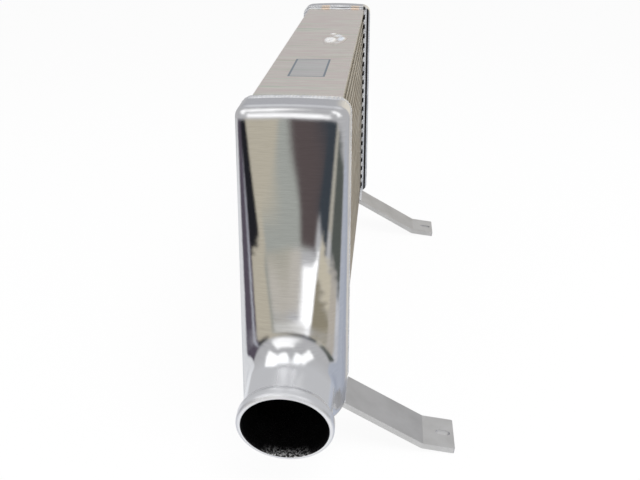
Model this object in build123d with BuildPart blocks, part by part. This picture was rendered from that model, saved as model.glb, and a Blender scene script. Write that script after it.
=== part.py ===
"""Bar-and-plate charge-air cooler with two cast end tanks and two welded flat-bar brackets.

Frame: X runs through the core's thickness with the brackets on +X, Y runs along the
charge-air path with the outlet tank at -Y, and Z is up. The origin is the centre of the
core's underside. All sizes are millimetres.
"""

import os
from math import cos, hypot, radians, sin, tan

from build123d import *

# Core stack: charge-air rows and ambient-air rows alternate between flat sheets.
core_length = 609.6
core_depth = 88.9
air_row_count = 20
air_row_height = 8.89
charge_row_height = 5.08
sheet_thickness = 0.635
side_plate_thickness = 1.6
charge_bar_width = 6.35
air_bar_width = 8.0
air_row_recess = 2.4

# Folded fins, drawn with a wider fold than the real foil so that each row stays light.
fin_foil = 0.4
air_fold_count = 20
air_fin_end_gap = 1.0
charge_fold_count = 8
charge_fin_side_gap = 0.5

# End tanks: a deep, round-cornered box whose front turns into a half cone towards the neck.
tank_overhang = 9.5
tank_socket_depth = 6.0
tank_wall = 3.0
tank_proud = 2.0
tank_roof_rise = 2.4
tank_top_depth = 34.0
tank_top_corner = 14.0
tank_base_depth = 95.0
tank_base_front_flat = 6.9
tank_edge_round = 12.0

# Hose neck, cast on the tank and pointing outwards and a little down.
neck_outer_radius = 44.45
neck_wall = 1.85
neck_tilt = 14.0
neck_mouth_reach = 125.6
neck_mouth_height = 26.9
neck_root_round = 32.0
bead_height = 3.5
bead_width = 13.0
bead_round = 3.0
lip_chamfer = 0.8

# Weld beads.
rim_bead_reach = 11.0
rim_bead_toe = 1.0
bracket_bead_leg = 4.0

# Brackets of flat bar: a slanted arm, leaving the tank's flank a little below the core's
# underside, and a nearly level slotted tab.
bracket_width = 50.8
bracket_thickness = 6.35
bracket_root_drop = 1.4
bracket_arm_drop = 29.7
bracket_tab_drop = 7.4
bracket_arm_reach = 84.8
bracket_tab_length = 34.5
bracket_bend_round = 2.0
bracket_end_round = 1.5
slot_length = 16.0
slot_width = 8.0
slot_centre_inset = 12.0
outlet_bracket_offset = 14.0
inlet_bracket_bead_gap = 0.6

# Irregular weld build-up on the top side plate.
patch_centre_x = 15.0
patch_centre_y = 27.0
patch_half_width = 17.5
patch_half_length = 48.0
patch_height = 2.2
patch_round = 1.8

os.makedirs("parts", exist_ok=True)

charge_row_count = air_row_count + 1
tube_height = charge_row_height + 2 * sheet_thickness
row_pitch = tube_height + air_row_height
core_height = 2 * side_plate_thickness + charge_row_count * tube_height + air_row_count * air_row_height
half_depth = core_depth / 2
half_length = core_length / 2
tube_floors = [side_plate_thickness + row * row_pitch for row in range(charge_row_count)]
charge_middles = [floor + sheet_thickness + charge_row_height / 2 for floor in tube_floors]
air_middles = [floor + tube_height + air_row_height / 2 for floor in tube_floors[:-1]]


def save(builder, name):
    """Labels a finished piece and writes it as one STEP file."""
    builder.part.label = name
    export_step(builder.part, f"parts/{name}.step")


def fold_outline(run, height, folds):
    """Closed zigzag outline of a folded foil: run long, height tall, with sharp crests."""
    step = run / folds
    lean = hypot(step, height - fin_foil) / step
    rise = fin_foil * lean
    crests = [(height / 2 if fold % 2 else rise - height / 2) for fold in range(folds + 1)]
    upper = [(fold * step - run / 2, crest) for fold, crest in enumerate(crests)]
    lower = [(along, crest - rise) for along, crest in reversed(upper)]
    return [*upper, *lower, upper[0]]


# ---------------------------------------------------------------- side plates and sheets

for name, floor in (("bottom_side_plate", 0), ("top_side_plate", core_height - side_plate_thickness)):
    with BuildPart() as side_plate:
        with BuildSketch(Plane.XY.offset(floor)):
            Rectangle(core_depth, core_length)
        extrude(amount=side_plate_thickness)
    save(side_plate, name)

with BuildPart() as parting_sheets:
    for floor in tube_floors:
        for sheet_floor in (floor, floor + sheet_thickness + charge_row_height):
            with BuildSketch(Plane.XY.offset(sheet_floor)):
                Rectangle(core_depth, core_length)
    extrude(amount=sheet_thickness)
save(parting_sheets, "parting_sheets")

# ---------------------------------------------------------------- closing bars

for name, side in (("charge_bars_left", -1), ("charge_bars_right", 1)):
    with BuildPart() as charge_bars:
        with BuildSketch(Plane.XZ.offset(-half_length)):
            for middle in charge_middles:
                nose = side * (half_depth - charge_row_height / 2)
                back = side * (half_depth - charge_bar_width)
                with Locations(((nose + back) / 2, middle)):
                    Rectangle(abs(nose - back), charge_row_height)
                with Locations((nose, middle)):
                    Circle(charge_row_height / 2)
        extrude(amount=core_length)
    save(charge_bars, name)

for name, side in (("air_bars_outlet_end", -1), ("air_bars_inlet_end", 1)):
    with BuildPart() as air_bars:
        for middle in air_middles:
            with Locations((0, side * (half_length - air_bar_width / 2), middle)):
                Box(core_depth - 2 * air_row_recess, air_bar_width, air_row_height)
    save(air_bars, name)

# ---------------------------------------------------------------- folded fins

air_fin_run = core_length - 2 * (air_bar_width + air_fin_end_gap)
for row, middle in enumerate(air_middles, 1):
    with BuildPart() as air_fin:
        with BuildSketch(Plane.YZ.offset(air_row_recess - half_depth)):
            with BuildLine(Location((0, middle))):
                Polyline(fold_outline(air_fin_run, air_row_height, air_fold_count))
            make_face()
        extrude(amount=core_depth - 2 * air_row_recess)
    save(air_fin, f"air_fin_{row:02d}")

charge_fin_run = core_depth - 2 * (charge_bar_width + charge_fin_side_gap)
for row, middle in enumerate(charge_middles, 1):
    with BuildPart() as charge_fin:
        with BuildSketch(Plane.XZ.offset(-half_length)):
            with BuildLine(Location((0, middle))):
                Polyline(fold_outline(charge_fin_run, charge_row_height, charge_fold_count))
            make_face()
        extrude(amount=core_length)
    save(charge_fin, f"charge_fin_{row:02d}")

# ---------------------------------------------------------------- end tanks

tank_half_width = half_depth + tank_overhang
tank_base_corner = tank_half_width - tank_base_front_flat / 2
rim_plane = tank_socket_depth - half_length
neck_run = neck_mouth_reach - tank_top_depth
mouth = Plane(
    origin=(0, -half_length - neck_mouth_reach, neck_mouth_height),
    x_dir=(1, 0, 0),
    z_dir=(0, -cos(radians(neck_tilt)), -sin(radians(neck_tilt))),
)
neck_bore_radius = neck_outer_radius - neck_wall
half_turn = Rotation(0, 0, 180)


def arched_outline(half_width, low, high, rise):
    """Closed outline with a flat base at low, straight sides and a top arched by rise above high."""
    Polyline((-half_width, high), (-half_width, low), (half_width, low), (half_width, high))
    ThreePointArc((half_width, high), (0, high + rise), (-half_width, high))


def tank_form(inset, rear):
    """Solid between the tank's base outline and its top outline, shrunk by inset, back to rear."""
    half_width = tank_half_width - inset
    base = inset - tank_proud
    shoulder = core_height + tank_proud - inset
    levels = (
        (base, tank_base_depth, tank_base_corner),
        (shoulder + tank_roof_rise, tank_top_depth, tank_top_corner),
    )
    with BuildPart() as form:
        for level, depth, outer_corner in levels:
            front = outer_corner - half_length - depth
            corner = outer_corner - inset
            with BuildSketch(Plane.XY.offset(level)):
                with BuildLine():
                    Line((half_width - corner, front - corner), (corner - half_width, front - corner))
                    RadiusArc((corner - half_width, front - corner), (-half_width, front), corner)
                    Polyline((-half_width, front), (-half_width, rear), (half_width, rear), (half_width, front))
                    RadiusArc((half_width, front), (half_width - corner, front - corner), corner)
                make_face()
        loft(ruled=True)
        with BuildSketch(Plane.XZ.offset(-rear)):
            with BuildLine():
                arched_outline(half_width, base, shoulder, tank_roof_rise)
            make_face()
        extrude(amount=2 * tank_base_depth, mode=Mode.INTERSECT)
        by_height = form.faces().sort_by(Axis.Z)
        ends = by_height[0].edges() + by_height[-1].edges()
        fillet(ends.filter_by(lambda edge: rear - edge.center().Y > 0.001), tank_edge_round - inset)
    return form.part


tank_outside = tank_form(0, rim_plane)
tank_inside = tank_form(tank_wall, -half_length)

with BuildPart() as outlet_tank:
    add(tank_outside)
    with BuildSketch(mouth):
        Circle(neck_outer_radius)
    extrude(amount=-neck_run)
    neck_side = outlet_tank.faces().filter_by(GeomType.CYLINDER).sort_by(Axis.Y)[0]
    neck_root = neck_side.edges().filter_by(lambda edge: edge.geom_type not in (GeomType.CIRCLE, GeomType.LINE))
    fillet(neck_root, neck_root_round)
    with BuildSketch(mouth):
        Circle(neck_outer_radius + bead_height)
    extrude(amount=-bead_width)
    bead_side = outlet_tank.faces().filter_by(GeomType.CYLINDER).sort_by(Axis.Y)[0]
    fillet(bead_side.edges().filter_by(GeomType.CIRCLE), bead_round)
    add(tank_inside, mode=Mode.SUBTRACT)
    with Locations((0, rim_plane - tank_socket_depth / 2, core_height / 2)):
        Box(core_depth, tank_socket_depth, core_height, mode=Mode.SUBTRACT)
    with BuildSketch(mouth):
        Circle(neck_bore_radius)
    extrude(amount=-neck_run, mode=Mode.SUBTRACT)
    rings = outlet_tank.edges().filter_by(GeomType.CIRCLE)
    lip = rings.filter_by(lambda edge: abs(edge.radius - neck_bore_radius) < 0.001).sort_by(Axis.Y)[0]
    chamfer(lip, lip_chamfer)
save(outlet_tank, "outlet_tank")

with BuildPart() as inlet_tank:
    add(half_turn * outlet_tank.part)
save(inlet_tank, "inlet_tank")

# ---------------------------------------------------------------- rim welds

with BuildPart() as outlet_rim_weld:
    for setback, proud_x, proud_z, rise, corner in (
        (0, tank_overhang, tank_proud, tank_roof_rise, tank_edge_round),
        (rim_bead_reach, rim_bead_toe, rim_bead_toe, rim_bead_toe / 2, 2 * rim_bead_toe),
    ):
        with BuildSketch(Plane.XZ.offset(-rim_plane - setback)) as ring:
            with BuildLine():
                arched_outline(half_depth + proud_x, -proud_z, core_height + proud_z, rise)
            make_face()
            fillet(ring.vertices(), corner)
    loft(ruled=True)
    with Locations((0, rim_plane + rim_bead_reach / 2, core_height / 2)):
        Box(core_depth, rim_bead_reach, core_height, mode=Mode.SUBTRACT)
save(outlet_rim_weld, "outlet_rim_weld")

with BuildPart() as inlet_rim_weld:
    add(half_turn * outlet_rim_weld.part)
save(inlet_rim_weld, "inlet_rim_weld")

# ---------------------------------------------------------------- brackets

arm_slope = tan(radians(bracket_arm_drop))
bend_x = tank_half_width + bracket_arm_reach
bend_z = -bracket_root_drop - bracket_arm_reach * arm_slope
core_root_height = tank_overhang * arm_slope - bracket_root_drop
tab_plane = Plane(
    origin=(bend_x, 0, bend_z),
    x_dir=(cos(radians(bracket_tab_drop)), 0, -sin(radians(bracket_tab_drop))),
    z_dir=(sin(radians(bracket_tab_drop)), 0, cos(radians(bracket_tab_drop))),
)
outlet_bracket_y = -half_length - outlet_bracket_offset
inlet_bracket_y = -rim_plane - rim_bead_reach - inlet_bracket_bead_gap - bracket_width / 2


def bracket_bar(root_x, middle):
    """Bent flat bar from root_x out to the end of its slotted tab, centred on middle."""
    tab_end = tab_plane.from_local_coords((bracket_tab_length, 0, 0))
    with BuildPart() as bar:
        with BuildSketch(Plane.XZ.offset(-middle - bracket_width / 2)):
            with BuildLine():
                root = (root_x, (tank_half_width - root_x) * arm_slope - bracket_root_drop)
                top = FilletPolyline(root, (bend_x, bend_z), (tab_end.X, tab_end.Z), radius=bracket_bend_round)
                offset(top, amount=bracket_thickness, side=Side.RIGHT)
            make_face()
        extrude(amount=bracket_width)
        corners = bar.edges().filter_by(GeomType.LINE).filter_by(lambda edge: abs(edge.tangent_at(0).Y) < 0.001)
        fillet(corners.sort_by(Axis.X)[-2:], bracket_end_round)
        with BuildSketch(tab_plane):
            with Locations((bracket_tab_length - slot_centre_inset, middle)):
                SlotOverall(slot_length, slot_width)
        extrude(amount=-2 * bracket_thickness, both=True, mode=Mode.SUBTRACT)
    return bar.part


def bead_run(corner_x, corner_z, rear, front):
    """Round bead along Y on the line at corner_x, corner_z."""
    with BuildPart() as run:
        with BuildSketch(Plane.XZ.offset(-front)):
            with Locations((corner_x, corner_z)):
                Circle(bracket_bead_leg)
        extrude(amount=front - rear)
    return run.part


with BuildPart() as outlet_bracket:
    add(bracket_bar(half_depth - bracket_thickness, outlet_bracket_y))
    add(tank_outside, mode=Mode.SUBTRACT)
    with Locations((0, rim_plane, 0)):
        core_side = (Align.CENTER, Align.MIN, Align.CENTER)
        Box(2 * tank_half_width, bracket_width, core_height, align=core_side, mode=Mode.SUBTRACT)
save(outlet_bracket, "outlet_bracket")

with BuildPart() as inlet_bracket:
    add(bracket_bar(half_depth, inlet_bracket_y))
    with Locations((0, inlet_bracket_y, 0)):
        Box(core_depth, 2 * bracket_width, core_height, mode=Mode.SUBTRACT)
save(inlet_bracket, "inlet_bracket")

# ---------------------------------------------------------------- bracket welds

bar_shapes = (GeomType.PLANE, GeomType.CYLINDER)
cope = outlet_bracket.faces().filter_by(lambda face: face.geom_type not in bar_shapes)[0]
outlet_corners = cope.vertices().sort_by(Axis.Z)
outlet_bead_line = (outlet_bracket_y - bracket_width / 2, rim_plane)
inlet_bead_line = (inlet_bracket_y - bracket_width / 2, inlet_bracket_y + bracket_width / 2)

with BuildPart() as outlet_bracket_welds:
    for corner in (outlet_corners[0], outlet_corners[-1]):
        add(bead_run(corner.X, corner.Z, *outlet_bead_line))
    add(tank_outside, mode=Mode.SUBTRACT)
    add(outlet_bracket.part, mode=Mode.SUBTRACT)
save(outlet_bracket_welds, "outlet_bracket_welds")

with BuildPart() as inlet_bracket_welds:
    for corner_z in (0, core_root_height):
        add(bead_run(half_depth, corner_z, *inlet_bead_line))
    with Locations((0, 0, core_height / 2)):
        Box(core_depth, core_length, core_height, mode=Mode.SUBTRACT)
    add(inlet_bracket.part, mode=Mode.SUBTRACT)
save(inlet_bracket_welds, "inlet_bracket_welds")

# ---------------------------------------------------------------- weld patch

with BuildPart() as top_weld_patch:
    with BuildSketch(Plane.XY.offset(core_height)):
        with Locations((patch_centre_x, patch_centre_y)):
            SlotOverall(2 * patch_half_length, 2 * patch_half_width, rotation=90)
    extrude(amount=patch_height)
    fillet(top_weld_patch.faces().sort_by(Axis.Z)[-1].edges(), patch_round)
save(top_weld_patch, "top_weld_patch")
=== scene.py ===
import math

import bmesh
import bpy
from mathutils import Matrix, Vector


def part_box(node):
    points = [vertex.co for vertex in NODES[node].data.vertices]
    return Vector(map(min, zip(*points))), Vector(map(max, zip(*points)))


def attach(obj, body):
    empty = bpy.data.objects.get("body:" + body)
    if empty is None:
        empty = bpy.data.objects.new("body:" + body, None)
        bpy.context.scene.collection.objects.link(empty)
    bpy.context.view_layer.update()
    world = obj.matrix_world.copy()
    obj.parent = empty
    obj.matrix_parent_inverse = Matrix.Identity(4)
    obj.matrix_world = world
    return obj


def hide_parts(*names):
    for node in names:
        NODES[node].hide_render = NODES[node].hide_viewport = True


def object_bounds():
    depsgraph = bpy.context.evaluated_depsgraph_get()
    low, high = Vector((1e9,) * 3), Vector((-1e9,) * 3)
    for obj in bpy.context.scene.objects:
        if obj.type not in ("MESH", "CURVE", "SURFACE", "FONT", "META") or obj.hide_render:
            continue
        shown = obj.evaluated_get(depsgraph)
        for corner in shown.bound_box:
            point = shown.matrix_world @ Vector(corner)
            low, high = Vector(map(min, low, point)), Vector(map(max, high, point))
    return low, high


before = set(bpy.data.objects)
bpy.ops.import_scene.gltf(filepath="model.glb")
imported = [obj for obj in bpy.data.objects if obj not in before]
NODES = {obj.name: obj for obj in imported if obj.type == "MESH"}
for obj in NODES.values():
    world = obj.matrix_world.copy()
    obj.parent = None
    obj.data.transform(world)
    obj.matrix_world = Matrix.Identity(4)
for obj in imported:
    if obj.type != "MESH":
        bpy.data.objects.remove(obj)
cad_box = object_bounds()

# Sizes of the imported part, in metres. It lies along Y with like tanks at its two ends, so a depth is a
# distance from its middle along Y.
CORE_HALF_X = 0.04445
CORE_TOP = 0.31435
CORE_END = 0.3048
RIM_PLANE = 0.2988
TANK_HALF_X = 0.05395
TANK_FLOOR = -0.002
TANK_SHOULDER = 0.31635
ROOF_RISE = 0.0024
EDGE_ROUND = 0.012
BEAD_REACH = 0.011
BEAD_TOE = 0.001
BEAD_LAP = 0.008
MOUTH_DEPTH = 0.4304
MOUTH_Z = 0.0269
NECK_TILT = math.radians(14.0)
ROW_PITCH = 0.01524
FIRST_AIR_ROW = 0.00795
AIR_ROW_HEIGHT = 0.00889
AIR_ROWS = 20
AIR_FIN_HALF_X = 0.04205
AIR_FIN_HALF_RUN = 0.2958

# The inside of a tank, where its raw finish lies and its shade is painted: in the neck out to the middle of
# its wall, and in the tank within a plan whose corner and reach grow from the roof to the floor.
NECK_MID_WALL = 0.0435
HALF_WALL = 0.0015
ROOF_CORNER, CORNER_GROWTH = 0.014, 0.0365
ROOF_REACH, REACH_GROWTH = CORE_END + 0.034, 0.061
CAVITY_LOW, CAVITY_HIGH = 0.009, 0.305
CAVITY_FLOOR_TOP = 0.02

# The empty label field on the top side plate.
LABEL_X, LABEL_Y = -0.0003, -0.1518
LABEL_HALF_X, LABEL_HALF_Y = 0.0192, 0.0445

# Painted light on the far rim: dark bands along its right edge in X (painted reflections of the air rows, and
# a painted shade line), a painted shade crease on its top in Y, and warm spots of painted reflection in X.
POCKET_BAND = (CORE_HALF_X - 0.0010, CORE_HALF_X + 0.0026)
GROOVE_BAND = (CORE_HALF_X + 0.0048, CORE_HALF_X + 0.0080)
CREASE_BAND = (RIM_PLANE - 0.0078, RIM_PLANE - 0.0056)
WARM_SPOTS = ((-0.024, -0.011), (0.024, 0.037))


# ------------------------------------------------------------------ node helpers

class Graph:
    """Thin helper for building a node material or world."""

    def __init__(self, owner):
        owner.use_nodes = True
        self.tree = owner.node_tree
        self.tree.nodes.clear()

    def add(self, kind, **values):
        """New node, with each value put on its setting or its socket of that name."""
        node = self.tree.nodes.new(kind)
        for key, value in values.items():
            if hasattr(node, key):
                setattr(node, key, value)
            else:
                self.feed(node, key, value)
        return node

    def feed(self, node, key, value):
        """Sets or links a socket, named as in Base_Color or numbered as in _2."""
        numbered = key[0] == "_" and key[1:].isdigit()
        socket = node.inputs[int(key[1:])] if numbered else node.inputs[key.replace("_", " ")]
        if isinstance(value, bpy.types.NodeSocket):
            self.tree.links.new(value, socket)
        else:
            socket.default_value = value

    def math(self, operation, a, b=0.0, c=0.0, clamp=False):
        node = self.tree.nodes.new("ShaderNodeMath")
        node.operation = operation
        node.use_clamp = clamp
        for index, value in enumerate((a, b, c)):
            self.feed(node, f"_{index}", value)
        return node.outputs[0]

    def line(self, value, gain, start):
        """Start plus gain times the value."""
        return self.math("MULTIPLY_ADD", value, gain, start)

    def both(self, first, *others):
        """Product of masks: 1 only where each of them is."""
        for other in others:
            first = self.math("MULTIPLY", first, other)
        return first

    def either(self, first, *others):
        """Largest of masks: 1 where any of them is."""
        for other in others:
            first = self.math("MAXIMUM", first, other)
        return first

    def length(self, a, b):
        """Length of a run of a along one axis and b along the other."""
        return self.math("SQRT", self.math("MULTIPLY_ADD", a, a, self.math("MULTIPLY", b, b)))

    def step(self, value, edge, soft):
        """0 below the edge and 1 above it, over a band as wide as soft; a negative soft turns it round."""
        return self.math("MULTIPLY_ADD", value, 1 / soft, 0.5 - edge / soft, clamp=True)

    def between(self, value, low, high, soft):
        """1 from low to high and 0 outside, with both edges as wide as soft."""
        return self.both(self.step(value, low, soft), self.step(value, high, -soft))

    def ramp(self, factor, stops):
        """Colour along a row of stops, each a place from 0 to 1 and its colour."""
        node = self.tree.nodes.new("ShaderNodeValToRGB")
        elements = node.color_ramp.elements
        while len(elements) > 1:
            elements.remove(elements[-1])
        elements[0].position, elements[0].color = stops[0][0], (*stops[0][1], 1.0)
        for place, colour in stops[1:]:
            element = elements.new(place)
            element.color = (*colour, 1.0)
        self.feed(node, "_0", factor)
        return node.outputs[0]

    def mix(self, factor, a, b):
        """Colour a where the factor is 0, and b where it is 1."""
        node = self.tree.nodes.new("ShaderNodeMix")
        node.data_type = "RGBA"
        for index, value in ((0, factor), (6, a), (7, b)):
            if isinstance(value, bpy.types.NodeSocket):
                self.tree.links.new(value, node.inputs[index])
            else:
                node.inputs[index].default_value = value if index == 0 else (*value, 1.0)
        return node.outputs[2]

    def noise(self, scale, stretch=(1, 1, 1), detail=3.0, rough=0.5):
        """Noise in the object's own frame, finer along an axis as its stretch grows."""
        place = self.tree.nodes.new("ShaderNodeTexCoord")
        bend = self.add("ShaderNodeMapping", Scale=stretch, Vector=place.outputs["Object"])
        node = self.add(
            "ShaderNodeTexNoise", Scale=scale, Detail=detail, Roughness=rough, Vector=bend.outputs[0]
        )
        return node.outputs[0]

    def surface(self, name):
        """X, Y and Z of the surface's Position or Normal."""
        geometry = self.tree.nodes.new("ShaderNodeNewGeometry")
        return self.add("ShaderNodeSeparateXYZ", Vector=geometry.outputs[name]).outputs


def principled(graph, colour, rough, metallic=1.0, normal=None):
    """Closes a material with its one shader."""
    shader = graph.add("ShaderNodeBsdfPrincipled", Metallic=metallic, Base_Color=colour, Roughness=rough)
    if normal is not None:
        graph.feed(shader, "Normal", normal)
    out = graph.add("ShaderNodeOutputMaterial")
    graph.feed(out, "Surface", shader.outputs[0])


def bump(graph, height, strength, distance, round_off=0.0):
    """Bumped normal, over a surface whose facets are first evened out within the round_off distance."""
    node = graph.add("ShaderNodeBump", Strength=strength, Distance=distance, Height=height)
    if round_off:
        even = graph.add("ShaderNodeBevel", samples=6, Radius=round_off)
        graph.feed(node, "Normal", even.outputs[0])
    return node.outputs[0]


def new_material(name):
    material = bpy.data.materials.new(name)
    return material, Graph(material)


# ------------------------------------------------------------------ materials

def from_neck(graph, x, depth, z):
    """Distance along the neck's axis from its mouth, negative towards the core, and distance off the axis."""
    out = graph.math("SUBTRACT", depth, MOUTH_DEPTH)
    rise = graph.math("SUBTRACT", z, MOUTH_Z)
    fall = graph.math("MULTIPLY", rise, -math.sin(NECK_TILT))
    along = graph.line(out, math.cos(NECK_TILT), fall)
    lift = graph.math("MULTIPLY", rise, math.cos(NECK_TILT))
    across = graph.line(out, math.sin(NECK_TILT), lift)
    return along, graph.length(x, across)


def inside_tank(graph, x, depth, z, facing_up, off_axis):
    """1 on the raw inner faces of a tank and its neck, 0 on the polished outside."""
    roof = TANK_SHOULDER + ROOF_RISE
    fall = graph.math("MULTIPLY", graph.math("SUBTRACT", roof, z), 1 / (roof - TANK_FLOOR))
    corner = graph.line(fall, CORNER_GROWTH, ROOF_CORNER)
    reach = graph.line(fall, REACH_GROWTH, ROOF_REACH)
    past_x = graph.math("SUBTRACT", x, graph.math("SUBTRACT", TANK_HALF_X, corner))
    past_depth = graph.math("SUBTRACT", depth, graph.math("SUBTRACT", reach, corner))
    plan = graph.length(graph.math("MAXIMUM", past_x, 0.0), graph.math("MAXIMUM", past_depth, 0.0))
    wall = graph.both(
        graph.math("LESS_THAN", plan, graph.math("SUBTRACT", corner, HALF_WALL)),
        graph.math("GREATER_THAN", z, CAVITY_LOW),
        graph.math("LESS_THAN", z, CAVITY_HIGH),
    )
    ground = graph.both(
        graph.math("GREATER_THAN", facing_up, 0.5), graph.math("LESS_THAN", z, CAVITY_FLOOR_TOP)
    )
    return graph.either(graph.math("LESS_THAN", off_axis, NECK_MID_WALL), ground, wall)


def inside_with_painted_shade(graph, speck, mouth, z):
    """Colour of the tank's inside: near-black painted shade, with bright grit low down behind the lip."""
    # Painted shade: the inside is coloured near-black away from the lip.
    painted_deep_shade = graph.ramp(speck, [
        (0.50, (0.006, 0.006, 0.007)), (0.62, (0.05, 0.05, 0.052)), (0.75, (0.20, 0.20, 0.20)),
    ])
    near_lip = graph.both(
        graph.step(mouth, edge=-0.009, soft=0.008), graph.step(z, edge=-0.009, soft=-0.007)
    )
    grain = graph.noise(scale=420.0, detail=2.0, rough=0.8)
    grit = graph.ramp(grain, [(0.47, (0.02, 0.02, 0.02)), (0.60, (0.9, 0.9, 0.9))])
    return graph.mix(near_lip, painted_deep_shade, grit)


def polished_tank():
    """Mirror-polished casting: fine cross scratches, duller flanks and neck, and a raw inside painted dark as
    shade.
    """
    material, graph = new_material("polished_casting")
    scratch = graph.noise(scale=1.0, stretch=(60, 60, 2400), detail=4.0, rough=0.65)
    cloud = graph.noise(scale=26.0)
    wave = graph.noise(scale=11.0, stretch=(1, 1, 0.45), detail=1.0, rough=0.4)
    speck = graph.noise(scale=1500.0, detail=2.0, rough=0.7)
    facing_x, _, facing_up = graph.surface("Normal")
    x, y, z = graph.surface("Position")
    x, depth = graph.math("ABSOLUTE", x), graph.math("ABSOLUTE", y)
    mouth, off_axis = from_neck(graph, x, depth, z)
    inner = inside_tank(graph, x, depth, z, facing_up, off_axis)

    # Masks that are 1 where the finish is duller than the mirror of the front.
    flank = graph.ramp(graph.math("ABSOLUTE", facing_x), [(0.90, (0, 0, 0)), (0.985, (1, 1, 1))])
    crown = graph.ramp(facing_up, [(0.80, (0, 0, 0)), (0.97, (1, 1, 1))])
    neck = graph.step(mouth, edge=-0.022, soft=0.014)
    saddle = graph.step(mouth, edge=-0.050, soft=0.014)
    root = graph.both(
        graph.between(off_axis, low=0.052, high=0.072, soft=0.008), graph.step(mouth, edge=-0.095, soft=0.01)
    )
    dull = graph.either(flank, neck, crown)

    mirror_rough, raw_rough = 0.012, 0.62
    rough = graph.line(dull, 0.22, mirror_rough)
    for mask, more in ((saddle, 0.05), (root, 0.13), (graph.both(cloud, scratch), 0.05)):
        rough = graph.line(mask, more, rough)
    rough = graph.either(rough, graph.math("MULTIPLY", inner, raw_rough))

    neck_tint = (0.97, 0.98, 1.0)
    bright = graph.mix(cloud, (0.93, 0.93, 0.935), (0.85, 0.85, 0.865))
    bright = graph.mix(graph.step(scratch, edge=0.52, soft=-0.25), bright, (0.80, 0.80, 0.81))
    satin = graph.mix(dull, bright, graph.mix(saddle, (0.70, 0.71, 0.745), neck_tint))
    satin = graph.mix(saddle, satin, neck_tint)
    # The inside takes its painted shade colour here.
    colour = graph.mix(inner, satin, inside_with_painted_shade(graph, speck, mouth, z))

    height = graph.line(scratch, 0.0025, wave)
    height = graph.line(graph.both(inner, speck), 0.25, height)
    normal = bump(graph, height, strength=0.35, distance=0.0036, round_off=0.007)
    principled(graph, colour, rough, normal=normal)
    return material


# Tones of the rolled plate; the pink and the green ones are painted reflections.
PLATE_TINTS = [
    (0.32, (0.62, 0.61, 0.50)), (0.42, (0.84, 0.80, 0.74)), (0.49, (0.78, 0.66, 0.64)),
    (0.56, (0.88, 0.85, 0.78)), (0.66, (0.64, 0.68, 0.58)),
]


def brushed_metal(graph, grain):
    """Colour, roughness and bump of rolled aluminium, with streaks across it and faint pink and green tints
    that are painted reflections.
    """
    streak = graph.noise(scale=1.0, stretch=(14, 900, 60), detail=5.0, rough=0.6)
    wide = graph.noise(scale=1.0, stretch=(6, 75, 8), detail=4.0, rough=0.6)
    stain = graph.noise(scale=22.0, stretch=(1, 0.6, 1), rough=0.55)
    tint = graph.ramp(wide, PLATE_TINTS)
    colour = graph.mix(graph.math("MULTIPLY", streak, grain), tint, (0.86, 0.84, 0.80))
    rough = graph.line(stain, gain=0.16, start=0.33)
    return colour, rough, bump(graph, streak, strength=0.25, distance=0.0003)


def brushed_plate():
    """Rolled side plate, with an empty label field on its top and painted shade along its lower side edges.
    """
    material, graph = new_material("brushed_plate")
    colour, rough, normal = brushed_metal(graph, grain=0.55)
    x, y, z = graph.surface("Position")
    past_x = graph.math("SUBTRACT", graph.math("ABSOLUTE", graph.math("SUBTRACT", x, LABEL_X)), LABEL_HALF_X)
    past_y = graph.math("SUBTRACT", graph.math("ABSOLUTE", graph.math("SUBTRACT", y, LABEL_Y)), LABEL_HALF_Y)
    past = graph.math("MAXIMUM", past_x, past_y)
    top = graph.step(z, edge=0.3, soft=0.001)
    field = graph.both(graph.step(past, edge=0.0, soft=-0.0006), top)
    line = graph.both(graph.step(graph.math("ABSOLUTE", past), edge=0.0011, soft=-0.0006), top)
    colour = graph.mix(graph.math("MULTIPLY", field, 0.45), colour, (0.58, 0.63, 0.68))
    colour = graph.mix(graph.math("MULTIPLY", line, 0.85), colour, (0.20, 0.27, 0.34))
    # Painted shade: a near-black line along the bottom plate's side edges.
    flank = graph.step(graph.math("ABSOLUTE", x), edge=CORE_HALF_X - 0.0003, soft=0.0002)
    painted_shade_edge = graph.both(flank, graph.step(z, edge=0.0017, soft=-0.0002))
    principled(graph, graph.mix(painted_shade_edge, colour, (0.05, 0.045, 0.04)), rough, normal=normal)
    return material


def core_metal():
    """Brazed bars and sheets: warm satin aluminium."""
    material, graph = new_material("brazed_core")
    cloud = graph.noise(scale=40.0, stretch=(1, 0.25, 1), detail=4.0, rough=0.55)
    grain = graph.noise(scale=900.0, stretch=(1, 0.2, 1), detail=2.0)
    colour = graph.ramp(cloud, [
        (0.3, (0.66, 0.60, 0.50)), (0.55, (0.78, 0.73, 0.63)), (0.75, (0.84, 0.80, 0.72)),
    ])
    rough = graph.line(grain, gain=0.2, start=0.33)
    principled(graph, colour, rough, normal=bump(graph, grain, strength=0.2, distance=0.0002))
    return material


def fin_foil():
    """Bare foil at the fins' edges, with shade painted darker deeper in, where the folds hide it from the
    light.
    """
    material, graph = new_material("fin_foil")
    cloud = graph.noise(scale=30.0, detail=2.0)
    foil = graph.ramp(cloud, [(0.3, (0.50, 0.46, 0.40)), (0.7, (0.66, 0.62, 0.55))])
    x = graph.math("ABSOLUTE", graph.surface("Position")[0])
    # Painted shade: the foil is painted near-black away from the fins' edges.
    painted_shade_depth = graph.step(x, edge=AIR_FIN_HALF_X - 0.004, soft=-0.006)
    rough = graph.line(cloud, gain=0.1, start=0.32)
    principled(graph, graph.mix(painted_shade_depth, foil, (0.05, 0.046, 0.04)), rough)
    return material


def inner_foil():
    """Fins inside the charge rows, painted near-black as shade."""
    material, graph = new_material("charge_fin_foil")
    cloud = graph.noise(scale=60.0, stretch=(1, 0.1, 1), detail=2.0)
    # Painted shade: a near-black colour stands for the shade inside the rows.
    colour = graph.ramp(cloud, [(0.3, (0.02, 0.02, 0.02)), (0.7, (0.05, 0.048, 0.045))])
    principled(graph, colour, 0.6, metallic=0.6)
    return material


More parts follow.
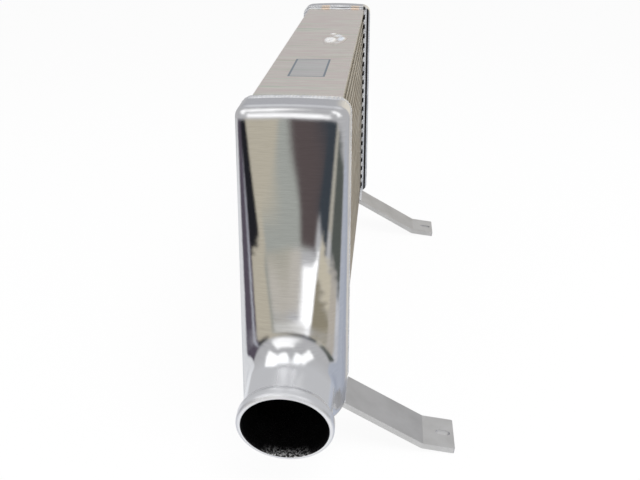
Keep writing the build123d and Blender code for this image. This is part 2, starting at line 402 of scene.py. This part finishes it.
def weld_metal(name, shaded):
    """Bright bead with fine pits; where shaded is set, painted shade and warm painted reflections as on the
    far rim.
    """
    material, graph = new_material(name)
    pit = graph.noise(scale=420.0, rough=0.6)
    cloud = graph.noise(scale=60.0)
    colour = graph.ramp(cloud, [(0.32, (0.66, 0.67, 0.70)), (0.6, (0.92, 0.93, 0.95))])
    rough = graph.line(pit, gain=0.22, start=0.14)
    if shaded:
        # Painted shade and reflections on the far rim: the dark mask and the warm reflection mask.
        dark, warm = far_rim_painted_light(graph)
        colour = graph.mix(graph.math("MULTIPLY", warm, 0.8), colour, (0.95, 0.74, 0.56))
        colour = graph.mix(dark, colour, (0.02, 0.018, 0.016))
        rough = graph.line(dark, 0.3, rough)
    normal = bump(graph, pit, strength=0.4, distance=0.0006)
    principled(graph, colour, rough, metallic=0.8, normal=normal)
    return material


def far_rim_painted_light(graph):
    """Masks of painted light: dark pockets beside each air row (painted reflections of the rows), a groove
    and a crease on top (painted shade), and warm spots (painted reflections).
    """
    x, y, z = graph.surface("Position")
    above_row = graph.math("MODULO", graph.math("SUBTRACT", z, FIRST_AIR_ROW), ROW_PITCH)
    pocket = graph.both(
        graph.between(x, *POCKET_BAND, soft=0.0006),
        graph.between(above_row, low=0.0012, high=AIR_ROW_HEIGHT, soft=0.001),
    )
    groove = graph.between(x, *GROOVE_BAND, soft=0.0006)
    crease = graph.both(
        graph.between(y, *CREASE_BAND, soft=0.0006), graph.step(z, edge=CORE_TOP - 0.001, soft=0.0004)
    )
    warm = graph.either(*(graph.between(x, *spot, soft=0.003) for spot in WARM_SPOTS))
    return graph.either(pocket, groove, crease), warm


def patch_metal():
    """Weld build-up: plate-coloured where it thins out, bright weld metal on its lumps, with a bluish painted
    reflection towards the right.
    """
    material, graph = new_material("weld_build_up")
    colour, rough, normal = brushed_metal(graph, grain=0.4)
    x, _, z = graph.surface("Position")
    lump = graph.step(z, edge=CORE_TOP + 0.0009, soft=0.0009)
    # Painted reflection: the lumps turn bluer towards the right.
    bright = graph.mix(graph.step(x, edge=0.020, soft=0.008), (0.95, 0.95, 0.95), (0.80, 0.86, 0.95))
    rough = graph.line(lump, -0.22, rough)
    metallic = graph.line(lump, gain=-0.6, start=1.0)
    principled(graph, graph.mix(lump, colour, bright), rough, metallic, normal)
    return material


def bracket_metal():
    """Flat bar with fine mill marks."""
    material, graph = new_material("flat_bar")
    mill = graph.noise(scale=1.0, stretch=(40, 900, 40), detail=4.0, rough=0.6)
    cloud = graph.noise(scale=35.0)
    colour = graph.ramp(cloud, [(0.3, (0.62, 0.62, 0.62)), (0.7, (0.72, 0.72, 0.725))])
    rough = graph.line(mill, gain=0.16, start=0.36)
    principled(graph, colour, rough, normal=bump(graph, mill, strength=0.2, distance=0.0002))
    return material


TANK = polished_tank()
PLATE = brushed_plate()
CORE = core_metal()
FIN = fin_foil()
INNER = inner_foil()
WELD = weld_metal("weld_bead", shaded=False)
SHADED_WELD = weld_metal("weld_bead_painted_shade", shaded=True)
PATCH = patch_metal()
BAR = bracket_metal()


def finish_for(name):
    """Material of a CAD node."""
    if name in ("outlet_tank", "inlet_tank"):
        return TANK
    if name in ("top_side_plate", "bottom_side_plate"):
        return PLATE
    if name.startswith("charge_fin"):
        return INNER
    if name.startswith("air_fin"):
        return FIN
    if "weld" in name:
        return WELD
    if "bracket" in name:
        return BAR
    return CORE


def dress(thing, material):
    """Puts one material in every slot."""
    if not thing.data.materials:
        thing.data.materials.append(material)
    for index in range(len(thing.data.materials)):
        thing.data.materials[index] = material


for name, node in NODES.items():
    dress(node, finish_for(name))


# ------------------------------------------------------------------ pieces

def piece(name, points, faces, material, nodes, smooth=True):
    """Visible piece on the part's one body, standing in for the named CAD nodes."""
    mesh = bpy.data.meshes.new(name)
    mesh.from_pydata(points, [], faces)
    solid = bmesh.new()
    solid.from_mesh(mesh)
    bmesh.ops.recalc_face_normals(solid, faces=solid.faces)
    solid.to_mesh(mesh)
    solid.free()
    mesh.materials.append(material)
    mesh.polygons.foreach_set("use_smooth", [smooth] * len(mesh.polygons))
    thing = bpy.data.objects.new(name, mesh)
    bpy.context.scene.collection.objects.link(thing)
    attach(thing, "root")
    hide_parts(*nodes)
    return thing


def spread(start, stop, step):
    """Evenly spaced values from start up to, and without, stop."""
    count = max(2, round(abs(stop - start) / step))
    return [start + (stop - start) * index / count for index in range(count)]


def ring_outline(half_width, low, high, rise, corner):
    """Closed outline of a rim in X and Z: rounded corners and a top arched by rise."""
    centres = (
        (half_width - corner, low + corner, -90), (half_width - corner, high - corner, 0),
        (corner - half_width, high - corner, 90), (corner - half_width, low + corner, 180),
    )
    # Rough lengths of the sides, the gap between their points, and degrees between points on a corner.
    upright, level, gap, turn_step = 0.32, 0.10, 0.0008, 4.5
    outline = []
    for index, (x, z, start) in enumerate(centres):
        for angle in spread(start, start + 90, turn_step):
            turn = math.radians(angle)
            outline.append((x + corner * math.cos(turn), z + corner * math.sin(turn)))
        next_x, next_z, _ = centres[(index + 1) % 4]
        aside = corner * math.cos(math.radians(start + 90))
        above = corner * math.sin(math.radians(start + 90))
        for share in spread(0.0, 1.0, gap / (level if index % 2 else upright)):
            outline.append((x + aside + (next_x - x) * share, z + above + (next_z - z) * share))
    arched = []
    for x, z in outline:
        share = max(0.0, (z - high + corner) / corner)
        arched.append((x, z + rise * share * (1 - (x / half_width) ** 2)))
    return arched


def ripple(run, share, pitch):
    """Height of a bead's overlapping pools, 0 to 1, at a run along it and a share across it."""
    bow, sharpness = 1.5, 0.7
    wander = 0.22 * math.sin(run * 190) + 0.15 * math.sin(run * 467 + 1.3)
    phase = run / pitch + wander - bow * (share - 0.5) ** 2
    return abs(math.sin(math.pi * phase)) ** sharpness


def rim_bead(name, node, side, material):
    """Rippled weld bead that runs right round the core and laps over a tank's rim."""
    inner = ring_outline(TANK_HALF_X, TANK_FLOOR, TANK_SHOULDER, ROOF_RISE, EDGE_ROUND)
    outer = ring_outline(CORE_HALF_X + BEAD_TOE, -BEAD_TOE, CORE_TOP + BEAD_TOE, BEAD_TOE / 2, 2 * BEAD_TOE)
    steps, least, pool, sunk, pool_pitch = 18, 0.0002, 0.0009, 0.0001, 0.0038
    points, run = [], 0.0
    for index, ((rim_x, rim_z), (toe_x, toe_z)) in enumerate(zip(inner, outer)):
        last_x, last_z = inner[index - 1]
        next_x, next_z = inner[(index + 1) % len(inner)]
        if index:
            run += math.hypot(rim_x - last_x, rim_z - last_z)
        length = math.hypot(next_x - last_x, next_z - last_z)
        out_x, out_z = (next_z - last_z) / length, (last_x - next_x) / length
        edge = 1.0 + 0.12 * math.sin(run * 83 + 2) + 0.10 * math.sin(run * 211)
        for step in range(steps + 1):
            share = step / steps
            setback = share * (BEAD_REACH + BEAD_LAP) - BEAD_LAP
            slope = max(setback, 0.0) / BEAD_REACH
            crest = math.sin(math.pi * min(share * edge, 1.0)) ** 0.7
            swell = crest * (least + pool * ripple(run, share, pool_pitch)) - sunk
            points.append((
                side * (rim_x + (toe_x - rim_x) * slope + out_x * swell),
                side * (RIM_PLANE - setback),
                rim_z + (toe_z - rim_z) * slope + out_z * swell,
            ))
        core_x = min(max(rim_x, -CORE_HALF_X), CORE_HALF_X)
        core_z = min(max(rim_z, 0.0), CORE_TOP)
        for setback in (BEAD_REACH, -BEAD_LAP):
            points.append((side * core_x, side * (RIM_PLANE - setback), core_z))
    count, width = len(inner), steps + 3
    faces = []
    for index in range(count):
        here, there = index * width, ((index + 1) % count) * width
        for step in range(width):
            after = (step + 1) % width
            faces.append((here + step, there + step, there + after, here + after))
    return piece(name, points, faces, material, [node])


def air_fin(name, node, low):
    """One row of foil folded square, standing between two parting sheets."""
    folds, foil = 330, 0.00015
    pitch = 2 * AIR_FIN_HALF_RUN / folds
    top, bottom = low + AIR_ROW_HEIGHT - foil / 2, low + foil / 2
    trough, crest, flat = 0.08, 0.58, 0.34
    path = []
    for fold in range(folds):
        start = -AIR_FIN_HALF_RUN + fold * pitch
        for share, z in ((trough, bottom), (trough + flat, bottom), (crest, top), (crest + flat, top)):
            path.append((start + share * pitch, z))
    points = []
    for index, (y, z) in enumerate(path):
        last_y, last_z = path[max(index - 1, 0)]
        next_y, next_z = path[min(index + 1, len(path) - 1)]
        first, second = Vector((y - last_y, z - last_z)), Vector((next_y - y, next_z - z))
        ahead = (first.normalized() + second.normalized()).normalized()
        offset = Vector((-ahead.y, ahead.x)) * foil / 2
        for x in (-AIR_FIN_HALF_X, AIR_FIN_HALF_X):
            points.append((x, y + offset.x, z + offset.y))
            points.append((x, y - offset.x, z - offset.y))
    faces = []
    for index in range(len(path) - 1):
        a, b = 4 * index, 4 * index + 4
        faces += [
            (a, b, b + 2, a + 2), (a + 1, a + 3, b + 3, b + 1),
            (a, a + 1, b + 1, b), (a + 2, b + 2, b + 3, a + 3),
        ]
    last = 4 * (len(path) - 1)
    faces += [(0, 2, 3, 1), (last, last + 1, last + 3, last + 2)]
    return piece(name, points, faces, FIN, [node], smooth=False)


def rippled_copy(name, node):
    """The node's weld beads remeshed finely and rippled along their length."""
    voxel, ripple_depth, ripple_pitch = 0.0005, 0.0007, 0.0034
    thing = bpy.data.objects.new(name, NODES[node].data.copy())
    bpy.context.scene.collection.objects.link(thing)
    fine = thing.modifiers.new("fine", "REMESH")
    fine.mode = "VOXEL"
    fine.voxel_size = voxel
    fine.use_smooth_shade = True
    solved = thing.evaluated_get(bpy.context.evaluated_depsgraph_get()).to_mesh()
    low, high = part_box(node)
    points = []
    for vertex in solved.vertices:
        sunk = ripple_depth * (1 - ripple(vertex.co.y, 0.5, ripple_pitch))
        place = vertex.co - vertex.normal * sunk
        points.append(tuple(min(max(v, low[i]), high[i]) for i, v in enumerate(place)))
    faces = [tuple(face.vertices) for face in solved.polygons]
    bpy.data.objects.remove(thing)
    return piece(name, points, faces, WELD, [node])


# Marks of the build-up: centre x and y, half sizes along x and y, and height or depth, all in millimetres.
LUMPS = (
    (9.5, 14.0, 9.0, 21.0, 1.7), (25.5, 21.0, 6.5, 17.0, 1.5), (10.5, 62.0, 5.0, 8.5, 1.6),
    (22.5, -5.0, 6.5, 9.0, 0.9), (19.0, 46.0, 7.0, 11.0, 1.0),
)
PITS = ((9.5, 11.0, 3.4, 8.0, 1.2), (11.0, 66.0, 1.6, 3.0, 1.2))


def build_up_height(x, y):
    """Height of the build-up over the plate at a place, all in millimetres."""
    height = 0.3
    for mark_x, mark_y, half_x, half_y, tall in LUMPS:
        away = ((x - mark_x) / half_x) ** 2 + ((y - mark_y) / half_y) ** 2
        height += tall * math.exp(-1.5 * away ** 1.8)
    for mark_x, mark_y, half_x, half_y, deep in PITS:
        away = ((x - mark_x) / half_x) ** 2 + ((y - mark_y) / half_y) ** 2
        height -= deep * math.exp(-2 * away)
    return height + 0.10 * math.sin(x * 0.9) * math.sin(y * 0.52 + 1)


def build_up():
    """Low irregular patch of weld on the top side plate."""
    low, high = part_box("top_weld_patch")
    middle, half = (low + high) / 2, (high - low) / 2
    rings, spokes = 34, 120
    points = [(middle.x, middle.y, low.z)]
    for ring in range(rings, -1, -1):
        fade = 1 - (ring / rings) ** 5
        for spoke in range(spokes):
            angle = 2 * math.pi * spoke / spokes
            wander = 0.93 + 0.035 * math.sin(3 * angle + 1) + 0.03 * math.sin(5 * angle + 0.4)
            share = ring / rings * wander
            x = middle.x + half.x * share * math.cos(angle)
            y = middle.y + half.y * share * math.sin(angle)
            height = max(fade * build_up_height(x * 1000, y * 1000), 0.0)
            points.append((x, y, min(low.z + height / 1000, high.z)))
    faces = [(0, 1 + (spoke + 1) % spokes, 1 + spoke) for spoke in range(spokes)]
    for ring in range(rings):
        for spoke in range(spokes):
            a, b = 1 + ring * spokes + spoke, 1 + ring * spokes + (spoke + 1) % spokes
            faces.append((a, b, b + spokes, a + spokes))
    return piece("weld_build_up", points, faces, PATCH, ["top_weld_patch"])


rim_bead("outlet_rim_bead", "outlet_rim_weld", -1, WELD)
rim_bead("inlet_rim_bead", "inlet_rim_weld", 1, SHADED_WELD)
rippled_copy("outlet_bracket_beads", "outlet_bracket_welds")
rippled_copy("inlet_bracket_beads", "inlet_bracket_welds")
build_up()
for row in range(AIR_ROWS):
    air_fin(f"folded_fin_{row + 1:02d}", f"air_fin_{row + 1:02d}", FIRST_AIR_ROW + row * ROW_PITCH)


# ------------------------------------------------------------------ studio

# Soft cards round the object, the later ones in front. Each has its colour, its left and right bearing in
# degrees from straight ahead of the outlet, its low and high level in degrees, its softness and its lean.
# A level edge sinks by CARD_DROOP for each degree of bearing away from CARD_MIDDLE.
CARD_DROOP = 0.22
CARD_MIDDLE = -7.0
CARDS = {
    "floor_ahead": ((0.92, 0.92, 0.92), -60, 60, -90, -18, 4, 0),
    "beige_wall": ((0.52, 0.48, 0.39), -62, -7.4, -18, 10, 0.4, 0),
    "grey_foot": ((0.38, 0.38, 0.34), -14, -7.8, -18, -3.6, 1.2, 0),
    "door_edge": ((0.55, 0.52, 0.47), -7.6, -6.4, -8, -3.8, 0.4, 0),
    "door_frame": ((0.39, 0.405, 0.375), -8.9, -5.5, -3.8, 10, 0.6, 0.10),
    "left_drape": ((0.10, 0.085, 0.11), -110, -60, -8, 11, 1.5, 0),
    "left_gap": ((0.46, 0.47, 0.52), -76, -68, -8, 11, 2, 0),
    "left_flag": ((0.018, 0.018, 0.022), -62, -22, -1.2, 9.5, 0.6, -1.6),
    "far_left": ((0.75, 0.76, 0.78), -181, -112, -9, 13, 3, 0),
    "curtain": ((0.105, 0.084, 0.084), -6.5, -3.2, -3.5, 10, 0.45, -0.03),
    "right_flag": ((0.05, 0.06, 0.072), -4.6, 34, -0.5, 10, 0.9, 0),
    "right_wall": ((0.60, 0.55, 0.44), 12, 60, -3.6, -0.5, 0.7, 0),
    "right_foot": ((0.30, 0.27, 0.20), 5, 60, -8, -3.6, 0.8, 0),
    "right_post": ((0.45, 0.43, 0.37), 34, 51, 1.5, 10, 1, 0),
    "right_drape": ((0.10, 0.11, 0.10), 51, 100, 0, 10, 2, 0),
    "right_base": ((0.50, 0.46, 0.40), 60, 86, -8, 0, 2, 0),
    "far_right": ((0.45, 0.48, 0.55), 103, 160, -20, 13, 3, 0),
    "back_wall": ((0.76, 0.72, 0.64), 158, 181, -20, 60, 3, 0),
}
# Lights that hang level, so their heights are plain elevations.
LIGHTS = {
    "window": ((1.5, 1.5, 1.5), -6.2, 8, -10.2, -5.2, 0.4, 0),
    "soft_box": ((1.2, 1.2, 1.2), -30, -3, 15, 42, 1.5, 0),
    "left_light": ((1.2, 1.2, 1.2), -100, -52, 26, 62, 4, 0),
    "right_light": ((1.2, 1.2, 1.2), 34, 72, 26, 62, 4, 0),
    "high_left": ((1.2, 1.2, 1.2), -78, -20, 58, 82, 3, 0),
    "high_right": ((1.2, 1.2, 1.2), 5, 62, 58, 82, 3, 0),
    "back_light_left": ((0.9, 0.9, 0.9), -181, -145, 34, 60, 12, 0),
    "back_light_right": ((0.9, 0.9, 0.9), 145, 181, 34, 60, 12, 0),
}


def studio_world():
    """White for the camera; for polished metal a room of pale and dark cards round the object."""
    world = bpy.data.worlds.new("studio")
    bpy.context.scene.world = world
    graph = Graph(world)
    where = graph.add("ShaderNodeTexCoord")
    x, y, z = graph.add("ShaderNodeSeparateXYZ", Vector=where.outputs["Generated"]).outputs
    bearing = graph.math("DEGREES", graph.math("ARCTAN2", x, graph.math("MULTIPLY", y, -1.0)))
    rise = graph.math("DEGREES", graph.math("ARCSINE", z))
    aside = graph.math("ABSOLUTE", graph.math("SUBTRACT", bearing, CARD_MIDDLE))
    level = graph.line(aside, CARD_DROOP, rise)
    room = graph.mix(graph.step(rise, edge=-20, soft=-6), (0.50, 0.50, 0.51), (0.60, 0.61, 0.65))
    for cards, up in ((CARDS, level), (LIGHTS, rise)):
        for colour, left, right, low, high, soft, lean in cards.values():
            across = bearing
            if lean:
                across = graph.math("ADD", graph.line(up, -lean, lean * low), bearing)
            inside = graph.both(
                graph.between(across, left, right, soft), graph.between(up, low, high, soft)
            )
            room = graph.mix(inside, room, colour)
    ambient, white = (0.62, 0.62, 0.63), (1.0, 1.0, 1.0)
    path = graph.add("ShaderNodeLightPath")
    lit = graph.mix(path.outputs["Is Glossy Ray"], ambient, room)
    seen = graph.mix(path.outputs["Is Camera Ray"], lit, white)
    shine = graph.add("ShaderNodeBackground", Strength=1.0, Color=seen)
    out = graph.add("ShaderNodeOutputWorld")
    graph.feed(out, "Surface", shine.outputs[0])


def blend(graph, factor, first, second):
    """Shader that is the first where the factor is 0, and the second where it is 1."""
    return graph.add("ShaderNodeMixShader", _0=factor, _1=first.outputs[0], _2=second.outputs[0])


def floor():
    """Plain pale floor, nearly white for the camera and clear for mirrored rays, which see the cards."""
    half, below, whiten = 6, 0.0004, 0.93
    mesh = bpy.data.meshes.new("floor")
    low = cad_box[0][2] - below
    corners = [(-half, -half, low), (half, -half, low), (half, half, low), (-half, half, low)]
    mesh.from_pydata(corners, [], [(0, 1, 2, 3)])
    ground = bpy.data.objects.new("floor", mesh)
    bpy.context.scene.collection.objects.link(ground)
    material, graph = new_material("pale_floor")
    path = graph.add("ShaderNodeLightPath")
    paint = graph.add("ShaderNodeBsdfDiffuse", Color=(0.86, 0.86, 0.86, 1.0))
    glow = graph.add("ShaderNodeEmission", Color=(1, 1, 1, 1), Strength=1.0)
    seen = blend(graph, graph.math("MULTIPLY", path.outputs["Is Camera Ray"], whiten), paint, glow)
    clear = graph.add("ShaderNodeBsdfTransparent")
    split = blend(graph, path.outputs["Is Glossy Ray"], seen, clear)
    out = graph.add("ShaderNodeOutputMaterial")
    graph.feed(out, "Surface", split.outputs[0])
    mesh.materials.append(material)


def lamp(name, place, aim, size, power):
    """Soft box that lights the object but isn't mirrored in it."""
    light = bpy.data.lights.new(name, "AREA")
    light.shape = "RECTANGLE"
    light.size, light.size_y = size
    light.energy = power
    holder = bpy.data.objects.new(name, light)
    holder.location = place
    holder.rotation_euler = (Vector(aim) - Vector(place)).to_track_quat("-Z", "Y").to_euler()
    holder.visible_glossy = False
    bpy.context.scene.collection.objects.link(holder)


def camera():
    """Camera as fitted to the photo's outline; its lens is 800 pixels in a picture 640 wide."""
    yaw, pitch, roll = 0.087, 0.424, math.radians(-0.2)
    place = Vector((0.08869, -1.04946, 0.50795))
    ahead = Vector((-math.sin(yaw) * math.cos(pitch), math.cos(yaw) * math.cos(pitch), -math.sin(pitch)))
    level = Vector((math.cos(yaw), math.sin(yaw), 0))
    right = level * math.cos(roll) + level.cross(ahead) * math.sin(roll)
    axes = Matrix((right, right.cross(ahead), -ahead)).transposed()
    data = bpy.data.cameras.new("camera")
    data.sensor_width = 36.0
    data.lens = 45.0
    data.clip_end = 50.0
    eye = bpy.data.objects.new("camera", data)
    eye.matrix_world = Matrix.Translation(place) @ axes.to_4x4()
    bpy.context.scene.collection.objects.link(eye)
    bpy.context.scene.camera = eye


studio_world()
floor()
lamp("key", (0.5, -0.9, 1.9), aim=(0, -0.1, 0.1), size=(1.4, 1.0), power=26)
lamp("fill", (-1.7, -0.5, 0.9), aim=(0, 0, 0.15), size=(1.0, 1.0), power=9)
lamp("right", (1.8, -0.2, 0.8), aim=(0, 0, 0.1), size=(1.0, 1.2), power=9)
camera()
bpy.context.scene.view_settings.view_transform = "Standard"
